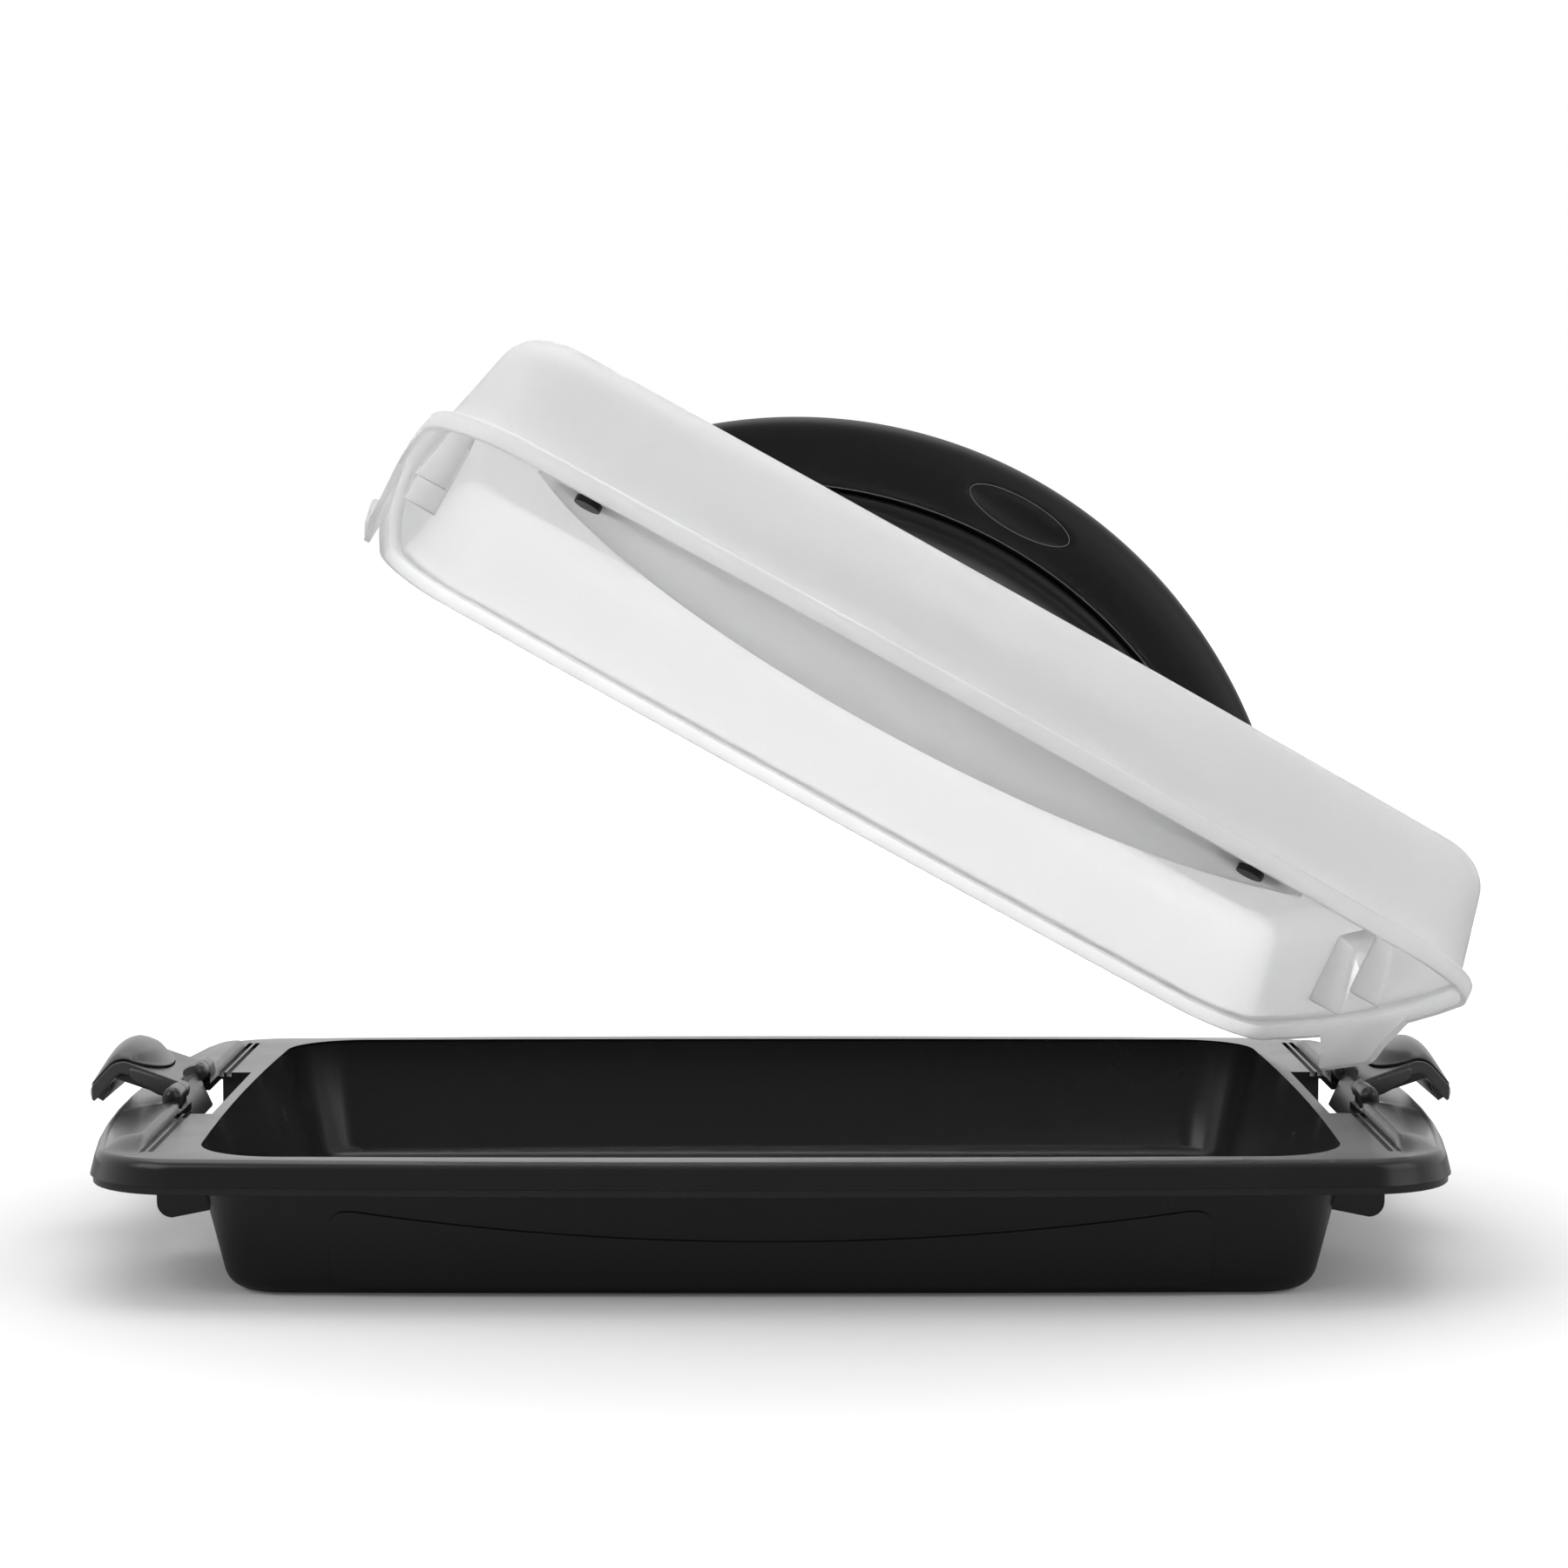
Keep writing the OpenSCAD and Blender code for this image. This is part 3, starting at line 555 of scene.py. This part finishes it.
def hoodPath(u, start, lip):
    # the hood's top in side view
    form = clipForm
    up = math.radians(form["rise"])
    down = math.radians(form["fall"])
    bendX, bendZ = form["bend"]
    radius = form["bendR"]
    if u < form["bendFrom"]:
        plate = (bendX - radius * math.sin(up) - start) / math.cos(up)
        left = plate * (1 - u / form["bendFrom"])
        x = bendX - radius * math.sin(up) - left * math.cos(up)
        return x, bendZ + radius * math.cos(up) - left * math.sin(up)
    if u < form["bendTo"]:
        share = (u - form["bendFrom"]) / (form["bendTo"] - form["bendFrom"])
        angle = math.pi / 2 + up - (up + down) * share
        return bendX + radius * math.cos(angle), bendZ + radius * math.sin(angle)
    along = lip * (u - form["bendTo"]) / (1 - form["bendTo"])
    x = bendX + radius * math.sin(down) + along * math.cos(down)
    return x, bendZ + radius * math.cos(down) - along * math.sin(down)


def lipReach(y, short):
    # length of the lip where its front edge is an arc in plan
    form = clipForm
    down = math.radians(form["fall"])
    front = form["front"] - form["frontR"] + math.sqrt(form["frontR"] ** 2 - y * y)
    room = (front - form["bend"][0] - form["bendR"] * math.sin(down)) / math.cos(down)
    return min(form["lip"], room) - short


def hoodPlace(u, v):
    form = clipForm
    flare = (form["armHalf"] - form["half"]) * max(0.0, 1 - u / form["bendFrom"])
    y = v * (form["half"] + flare)
    waist = form["waist"] - form["waistR"] + math.sqrt(form["waistR"] ** 2 - y * y)
    x, z = hoodPath(u, max(form["back"], waist), lipReach(y, 0.0))
    return Vector((x, y, z))


def padStart(v, grow):
    # the pad's inner edge is rounded off towards its sides
    return padForm["inner"] + padForm["round"] * (1 - math.sqrt(max(0.0, 1 - v * v))) - grow


def padLift(x, v, start):
    form = padForm
    along = max(0.0, 1 - ((x - form["crown"]) / form["reach"]) ** 2)
    across = max(0.0, 1 - v * v)
    swell = easeStep((x - start + form["swellBack"]) / form["swellRun"])
    return form["step"] + form["dome"] * swell * along ** form["alongPower"] * across ** form["acrossPower"]


def padRule(grow, raised):
    def place(u, v):
        form = padForm
        y = v * (form["half"] + grow)
        start = padStart(v, grow)
        x, z = hoodPath(u, min(start, form["latest"]), lipReach(y, form["short"] - grow))
        lift = padLift(x, v, start) if raised else padGapShadeForm["lift"]
        onLip = min(1.0, (x - form["tiltFrom"]) / form["tiltRun"])
        tilt = math.radians(form["tiltPlate"] if x < form["tiltFrom"] else -form["tiltLip"] * onLip)
        return Vector((x - lift * math.sin(tilt) * form["lean"], y, z + lift * math.cos(tilt)))
    return place


def clipSheet(place, form):
    # a sheet over the hood, with the thickness and the eased edge of its own settings
    sheet = rulePiece(clipForm["columns"], clipForm["rows"], place)
    return thicken(sheet, form["thick"], form["edge"], form["segments"])


def nearAndFar(name, span, make):
    near = (-span[1], -span[0])
    return [(name + "Near", make(near), clipPlastic), (name + "Far", make(span), clipPlastic)]


def cheek(span):
    return extrudeOutline(cheekOutline, span, sideForm["cheekEdge"], sideForm["cheekSegments"])


def arm(span):
    return extrudeOutline(armOutline, span, sideForm["armEdge"], sideForm["armSegments"])


def boss(span):
    return capsule(sideForm["bossR"], span, sideForm["bossX"], sideForm["bossZ"])


def lipWall():
    return extrudeOutline(lipOutline, sideForm["lip"], sideForm["lipEdge"], sideForm["cheekSegments"])


def setAtEnd(bm, side):
    # from millimetres round the pivot to metres in the shared frame, at the right end or mirrored to the left
    pivotX, pivotZ = clipForm["pivot"]
    for vert in bm.verts:
        x, y, z = vert.co
        vert.co = Vector((side * (pivotX + x), y, pivotZ + z)) / inMetre
    if side < 0:
        bmesh.ops.reverse_faces(bm, faces=bm.faces)
    return bm


def buildClip(side, end, body):
    parts = [
        ("hood", clipSheet(hoodPlace, clipForm), clipPlastic),
        ("padGapShade", clipSheet(padRule(padGapShadeForm["grow"], False), padGapShadeForm), paintedGapShade),
        ("pad", clipSheet(padRule(0.0, True), padForm), clipPlastic),
        *nearAndFar("cheek", sideForm["cheek"], cheek),
        ("lipWall", lipWall(), clipPlastic),
        *nearAndFar("arm", sideForm["arm"], arm),
        *nearAndFar("boss", sideForm["boss"], boss),
    ]
    for name, bm, mat in parts:
        piece = meshPiece(name + end, setAtEnd(bm, side), mat)
        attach(piece, body)
        if name == "pad":
            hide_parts("clip_pad_" + end.lower())


buildClip(1, "Right", "clip_right")
buildClip(-1, "Left", "clip_left")
print("clips made")

# The floor is a white card to the camera, lifted to full white away from the object, and grey to other rays
floorForm = {"half": 8.0, "centre": (0, 3.0, -0.0004), "seen": 0.95, "bounce": 0.4, "roughness": 0.7,
             "lift": (0.05, 0.75), "liftSpan": (0.26, 0.9)}
roomForm = {"nearToFar": (-0.75, 0.35), "strength": (0.24, 1.0)}
softboxes = {
    "keySoftbox": {"place": (-1.3, -1.1, 1.3), "size": (1.2, 1.2), "power": 8.0},
    "fillSoftbox": {"place": (1.5, -1.0, 0.9), "size": (1.2, 1.2), "power": 5.0},
    "topSoftbox": {"place": (0, 0.5, 1.9), "size": (2.0, 1.4), "power": 11.0},
}
softboxAim = (0, 0, 0.1)
cameraForm = {"place": (0.0, -1.318, 0.2463), "down": 3.93, "aside": -0.2, "lens": 86.2, "sensor": 36.0,
              "clipEnd": 100.0}
white = (1, 1, 1, 1)


def whenSeen(tree):
    # 1 for the camera and for rays through the lid, 0 for other light
    path = tree.nodes.new("ShaderNodeLightPath")
    return mathNode(tree, "MAXIMUM", path.outputs["Is Camera Ray"], path.outputs["Is Transmission Ray"])


def buildFloor():
    form = floorForm
    bm = bmesh.new()
    bmesh.ops.create_grid(bm, x_segments=1, y_segments=1, size=form["half"])
    bmesh.ops.translate(bm, verts=bm.verts, vec=form["centre"])
    mesh = bpy.data.meshes.new("studioFloor")
    bm.to_mesh(mesh)
    bm.free()
    mat, tree, out = newMaterial("floorCard")
    bsdf = tree.nodes.new("ShaderNodeBsdfPrincipled")
    card = colourMix(tree, whenSeen(tree), (*[form["bounce"]] * 3, 1), (*[form["seen"]] * 3, 1))
    feed(tree, bsdf.inputs["Base Color"], card)
    bsdf.inputs["Roughness"].default_value = form["roughness"]
    bsdf.inputs["Specular IOR Level"].default_value = 0.0
    coords = tree.nodes.new("ShaderNodeTexCoord")
    away = tree.nodes.new("ShaderNodeVectorMath")
    away.operation = "LENGTH"
    feed(tree, away.inputs[0], coords.outputs["Object"])
    rise = rampNode(tree, away.outputs["Value"], form["liftSpan"], form["lift"])
    feed(tree, bsdf.inputs["Emission Strength"], mathNode(tree, "MULTIPLY", rise, whenSeen(tree)))
    bsdf.inputs["Emission Color"].default_value = white
    feed(tree, out.inputs["Surface"], bsdf.outputs["BSDF"])
    mesh.materials.append(mat)
    linkedObject("studioFloor", mesh)


def buildRoom():
    # a white room whose near side is dim, as behind a camera, so that dark faces stay dark
    world = bpy.data.worlds.new("studioWorld")
    bpy.context.scene.world = world
    world.use_nodes = True
    tree = world.node_tree
    tree.nodes.clear()
    coords = tree.nodes.new("ShaderNodeTexCoord")
    parts = tree.nodes.new("ShaderNodeSeparateXYZ")
    feed(tree, parts.inputs[0], coords.outputs["Generated"])
    depth = rampNode(tree, parts.outputs["Y"], roomForm["nearToFar"], roomForm["strength"])
    mix = tree.nodes.new("ShaderNodeMixShader")
    feed(tree, mix.inputs["Fac"], whenSeen(tree))
    for socket, strength in ((mix.inputs[1], depth), (mix.inputs[2], 1.0)):
        side = tree.nodes.new("ShaderNodeBackground")
        side.inputs["Color"].default_value = white
        feed(tree, side.inputs["Strength"], strength)
        feed(tree, socket, side.outputs[0])
    out = tree.nodes.new("ShaderNodeOutputWorld")
    feed(tree, out.inputs["Surface"], mix.outputs[0])


def addSoftboxes():
    for name, form in softboxes.items():
        data = bpy.data.lights.new(name, "AREA")
        data.shape = "RECTANGLE"
        data.size, data.size_y = form["size"]
        data.energy = form["power"]
        lamp = linkedObject(name, data)
        lamp.location = form["place"]
        lamp.rotation_mode = "QUATERNION"
        lamp.rotation_quaternion = (Vector(softboxAim) - Vector(form["place"])).to_track_quat("-Z", "Y")


def buildCamera():
    form = cameraForm
    data = bpy.data.cameras.new("photoCamera")
    data.sensor_width = form["sensor"]
    data.lens = form["lens"]
    data.clip_end = form["clipEnd"]
    camera = linkedObject("photoCamera", data)
    camera.location = form["place"]
    camera.rotation_euler = (math.radians(90 - form["down"]), 0.0, math.radians(form["aside"]))
    bpy.context.scene.camera = camera


buildFloor()
buildRoom()
addSoftboxes()
buildCamera()
bpy.context.scene.view_settings.view_transform = "Standard"
print("studio made")
